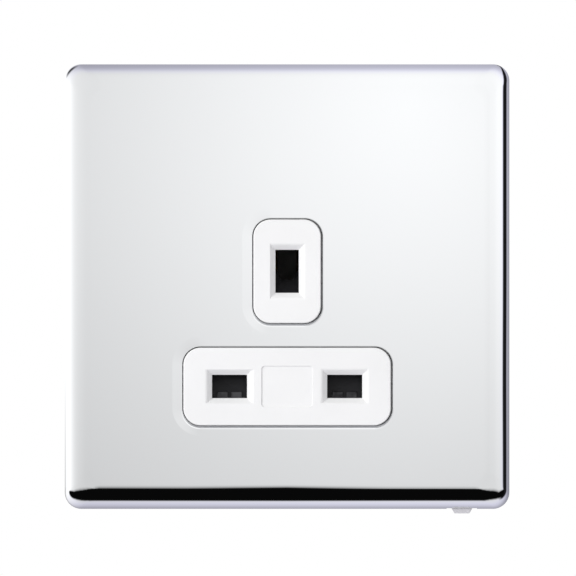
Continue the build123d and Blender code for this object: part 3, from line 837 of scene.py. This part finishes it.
def levelCurve(value, points):
    # read off straight lines between points, and held outside them
    low = points[0][0]
    span = points[-1][0] - low
    ramp = addNode(value.tree, "ShaderNodeValToRGB", Fac=share(value, low, low + span))
    bottom = min(level for place, level in points)
    rise = max(level for place, level in points) - bottom
    elements = ramp.color_ramp.elements
    elements.remove(elements[1])
    for number, (place, level) in enumerate(points):
        spot = (place - low) / span
        element = elements[0] if number == 0 else elements.new(spot)
        element.position = spot
        element.color = [(level - bottom) / rise] * 3 + [1]
    return Field(value.tree, ramp.outputs["Color"]) * rise + bottom


def blend(first, second, factor):
    return (1.0 - factor) * first + factor * second


def degrees(radians):
    return radians * (180 / math.pi)


def poolLevel(tree, place):
    # the face sends its own picture back larger; past the face the level holds
    flat = plate["Half Size"] - plate["Roll Radius"]
    half = flat / mm
    reach = flat * (1 + dome["radius"] / stage["distance"])
    x, y, z = splitVector(tree, place)
    squares = []
    for spot, middle in zip((x, z), dome["poolCentre"]):
        away = share(spot, -reach, reach) * (2 * half) - (half + middle)
        squares.append(away * away)
    return levelCurve(maths("SQRT", squares[0] + squares[1]), dome["pool"])


def stripMask(x, z, angle):
    around = degrees(maths("ARCTAN2", z, x))
    off = maths("ABSOLUTE", angle - levelCurve(around, dome["stripPlace"]))
    off = off - levelCurve(around, dome["stripHalf"])
    upper, lower = dome["stripEnds"]
    return share(off, *dome["stripSoft"]) * (share(around, *upper) * share(around, *lower))


def domeFinish():
    finish, tree = emptyFinish("studioDome")
    place = objectPlace(tree)
    way = addNode(tree, "ShaderNodeVectorMath", {"operation": "NORMALIZE"})
    tree.links.new(place, way.inputs[0])
    x, y, z = splitVector(tree, way.outputs["Vector"])
    angle = degrees(maths("ARCCOSINE", y * -1.0))
    pool = poolLevel(tree, place)
    # four sides
    left = blend(pool, dome["leftLevel"], levelCurve(angle, dome["left"]))
    shade = share(angle, *dome["leftShadeAngles"]) * share(z, *dome["leftShadeHeights"])
    left = blend(left, dome["leftShade"], shade)
    right, top, bottom = [pool * levelCurve(angle, dome[side]) for side in ("right", "top", "bottom")]
    onRight = share(x, *dome["seam"])
    onTop = share(z, *dome["seam"])
    across = x * x
    across = across / (across + z * z + dome["nearAxis"])
    sides = blend(left, right, onRight)
    level = blend(blend(bottom, top, onTop), sides, across)
    # dark things in the room
    level = blend(level, dome["stripLevel"], stripMask(x, z, angle))
    corner = addNode(tree, "ShaderNodeVectorMath", {"operation": "DOT_PRODUCT"})
    tree.links.new(way.outputs["Vector"], corner.inputs[0])
    corner.inputs[1].default_value = Vector(dome["cornerWay"]).normalized()
    inCorner = share(Field(tree, corner.outputs["Value"]), *dome["cornerSpan"])
    level = blend(level, dome["cornerLevel"], inCorner)
    # lavender cast from the paper behind, all but on the left
    cast = (1.0 - across * (1.0 - onRight)) * share(angle, *dome["lavenderAngles"])
    tint = mixColour(tree, cast, (1, 1, 1, 1), (*dome["lavender"], 1))
    glow = addNode(tree, "ShaderNodeEmission", Color=tint, Strength=level / dome["mirror"])
    tree.links.new(glow.outputs[0], addNode(tree, "ShaderNodeOutputMaterial").inputs["Surface"])
    return finish


def onlyReflected(thing):
    thing.visible_camera = False
    thing.visible_diffuse = False
    thing.visible_transmission = False
    thing.visible_shadow = False


def makeDome():
    work = bmesh.new()
    bmesh.ops.create_icosphere(work, subdivisions=dome["fineness"], radius=dome["radius"])
    mesh = meshFromWork("studioDome", work)
    mesh.materials.append(domeFinish())
    onlyReflected(addObject("studioDome", mesh))


# a black card curled round the foot of the plate, which only reflections see
card = {
    "reach": 12 * mm,  # from the middle of the plate's roll
    "cornerCentre": 38 * mm,
    "turn": 80,  # degrees round each lower corner
    "fall": (-4, 86),  # degrees below the horizon, from the middle of the roll
    "cornerSteps": 10,
    "fallSteps": 24,
    "drift": 0.98,  # how far reflections swing to the side, for each metre that they start off the middle
    # degrees below the horizon at which the roll meets it, by degrees to the right
    "top": [(-140, 5), (-110, 8), (-94, 10), (-65, 20), (-42, 20.5), (-27, 18.5), (-16, 14.5), (-8.6, 9.3),
            (-4.4, 5.5), (-3.3, 4.5), (-2.2, 4.2), (-1.1, 4.3), (0, 3.9), (1.1, 4.65), (2.2, 4.75),
            (3.3, 5.1), (4.4, 6.5), (7.5, 10.5), (14, 15.5), (24, 19.5), (38, 21.5), (58, 23), (85, 9.5),
            (110, 7), (140, 5)],
    "topSoft": (0.7, 1.18),  # shares of that, over which it turns black
    # how far back its near edge runs, by how far to the right
    "near": [(-1, 0.2), (-0.91, 0.06), (-0.73, -0.18), (-0.54, -0.31), (-0.34, -0.36), (-0.14, -0.34),
             (0, -0.26), (0.11, -0.37), (0.31, -0.46), (0.5, -0.42), (0.69, -0.3), (0.88, -0.08), (1, 0.03)],
    "nearSoft": (0.12, -0.04),
    "level": 0.003,
}
card["flat"] = plate["Half Size"] - plate["Roll Radius"]
card["depth"] = plate["Roll Radius"] - plate["Depth"]  # of the middle of the roll
card["lean"] = 1 - plate["Roll Radius"] / card["reach"] / 2  # the roll's own size bends the angles
card["sight"] = math.atan(card["flat"] / stage["distance"])
card["sightShare"] = 1.5  # of the camera's own angle, which the roll adds to a reflection
card["soft"] = math.radians(plate["Soft Start"] * 2)  # a reflection turns twice as far as the sheet
card["softLean"] = 1 + (plate["Flat Margin"] / card["soft"] - plate["Roll Radius"]) / card["reach"]


def cardPlace(spot, centre):
    # offsets from the nearer corner's centre, and the fall from the middle of the roll
    x, y, z = spot
    held = maths("MINIMUM", maths("MAXIMUM", x, centre * -1.0), centre)
    across = x - held
    down = z + centre
    away = maths("SQRT", across * across + down * down)
    fall = maths("ARCTAN2", away + centre - card["flat"], card["depth"] - y)
    return across, down, away, fall


def cardMask(tree):
    spot = splitVector(tree, objectPlace(tree))
    fall = cardPlace(spot, card["cornerCentre"])[3]
    # the corner's centre moves out along the roll
    first = card["flat"] - plate["Face Corner"]
    last = plate["Half Size"] - plate["Corner"]
    centre = maths("SINE", fall / (2 * card["lean"])) * (last - first) + first
    across, down, away, fall = cardPlace(spot, centre)
    fall = fall - card["sight"] * (1 - plate["Roll Radius"] / card["reach"])
    early = (fall - card["soft"] * card["lean"]) / card["softLean"]
    fall = maths("MAXIMUM", fall / card["lean"], early + card["soft"])
    fall = fall + card["sight"] * card["sightShare"]
    # the way that a reflection went to get here
    swing = maths("SINE", fall) / away
    x = swing * across + spot[0] * card["drift"]
    y = maths("COSINE", fall) * -1.0
    under = degrees(maths("ARCSINE", swing * down * -1.0))
    aside = degrees(maths("ARCTAN2", x, y * -1.0))
    below = share(under / levelCurve(aside, card["top"]), *card["topSoft"])
    near = share(y - levelCurve(x, card["near"]), *card["nearSoft"])
    return maths("POWER", below, 2.0) * near


def cardFinish():
    finish, tree = emptyFinish("blackCard")
    clear = addNode(tree, "ShaderNodeBsdfTransparent")
    black = addNode(tree, "ShaderNodeEmission", Color=(1, 1, 1, 1), Strength=card["level"])
    mix = mixShaders(tree, cardMask(tree), clear, black)
    tree.links.new(mix.outputs[0], addNode(tree, "ShaderNodeOutputMaterial").inputs["Surface"])
    return finish


def makeCard():
    work = bmesh.new()
    centre = card["cornerCentre"]
    first, last = card["fall"]
    turns = [card["turn"] * step / card["cornerSteps"] for step in range(card["cornerSteps"] + 1)]
    stops = [(-centre, -turn) for turn in reversed(turns)] + [(centre, turn) for turn in turns]
    lines = []
    for middle, turn in stops:
        line = []
        for step in range(card["fallSteps"] + 1):
            fall = math.radians(first + (last - first) * step / card["fallSteps"])
            out = card["flat"] - centre + card["reach"] * math.sin(fall)
            x = middle + out * math.sin(math.radians(turn))
            z = -centre - out * math.cos(math.radians(turn))
            line.append(work.verts.new((x, card["depth"] - card["reach"] * math.cos(fall), z)))
        lines.append(line)
    for left, right in zip(lines, lines[1:]):
        for step in range(card["fallSteps"]):
            work.faces.new((left[step], right[step], right[step + 1], left[step + 1]))
    mesh = meshFromWork("blackCard", work)
    mesh.materials.append(cardFinish())
    onlyReflected(addObject("blackCard", mesh))


makeCamera()
makeWorld()
makeKey()
makeFloor()
makeDome()
makeCard()
bpy.context.scene.view_settings.view_transform = "Standard"
print("stage set")


# white moulding
moulding = {
    "edge": 0.06 * mm,
    "flangeFace": -4.0 * mm,  # level of the flange behind the plate
    "flangeDrop": 0.9 * mm,  # set back, so that the gap round each boss is deep and dark
    "levelSlack": 0.01 * mm,
    "mouthReach": 1.8 * mm,  # a pin hole's mouth lies within this of the pin's own space
    "mouthRound": 0.3 * mm,
    "mouthSteps": 4,
}
pinBoxes = [opening["box_m"] for opening in frame["record"]["physics"]["openings"]]


def nearPin(spot, box):
    low, high = box
    reach = moulding["mouthReach"]
    return low[0] - reach < spot.x < high[0] + reach and low[2] - reach < spot.z < high[2] + reach


def softenMoulding(work):
    for vert in work.verts:
        if abs(vert.co.y - moulding["flangeFace"]) < moulding["levelSlack"]:
            vert.co.y += moulding["flangeDrop"]
    # rims of the pin holes, in the front faces of the bosses
    front = min(vert.co.y for vert in work.verts) + moulding["levelSlack"]
    rims = []
    for edge in work.edges:
        for box in pinBoxes:
            if all(vert.co.y < front and nearPin(vert.co, box) for vert in edge.verts):
                rims.append(edge)
    bevelEdges(work, rims, moulding["mouthRound"], moulding["mouthSteps"])


mouldingMesh = roundedCopy("front_moulding", moulding["edge"], softenMoulding)
frontMoulding = placePiece("frontMoulding", mouldingMesh, whitePlastic, "socket",
                           ["front_moulding"])
print("moulding softened,", len(frontMoulding.data.polygons), "faces")


# the other solids keep their shape and get softer edges, in mm
copies = {
    "plate_carrier": ("plateCarrier", 0.12, carrierPlastic, "carrier_plastic", "socket"),
    "mounting_yoke": ("mountingYoke", 0.1, zincSteel, "zinc_steel", "socket"),
    "shutter": ("shutterSlide", 0.12, blackPlastic, "black_plastic", "shutter"),
    "shutter_retainer": ("shutterRetainer", 0.1, greyBoard, "grey_plastic", "socket"),
    "line_contact": ("lineContact", 0.06, contactBrass, "contact_brass", "socket"),
    "neutral_contact": ("neutralContact", 0.06, contactBrass, "contact_brass", "socket"),
    "earth_contact": ("earthContact", 0.06, contactBrass, "contact_brass", "socket"),
    "line_terminal": ("lineTerminal", 0.15, terminalBrass, "terminal_brass", "socket"),
    "neutral_terminal": ("neutralTerminal", 0.15, terminalBrass, "terminal_brass", "socket"),
    "earth_terminal": ("earthTerminal", 0.15, terminalBrass, "terminal_brass", "socket"),
    "rear_cover": ("rearCover", 0.2, backPlastic, "back_plastic", "socket"),
    "earth_strap": ("earthStrap", 0.08, contactBrass, "contact_brass", "socket"),
    "plate_earth_spring": ("plateEarthSpring", 0.04, springSteel, "spring_steel", "socket"),
    "earth_rivet": ("earthRivet", 0.25, terminalBrass, "terminal_brass", "socket"),
}
for node, (name, width, finish, slotName, body) in copies.items():
    placePiece(name, roundedCopy(node, width * mm), finish, body, [node])
print("solids dressed")
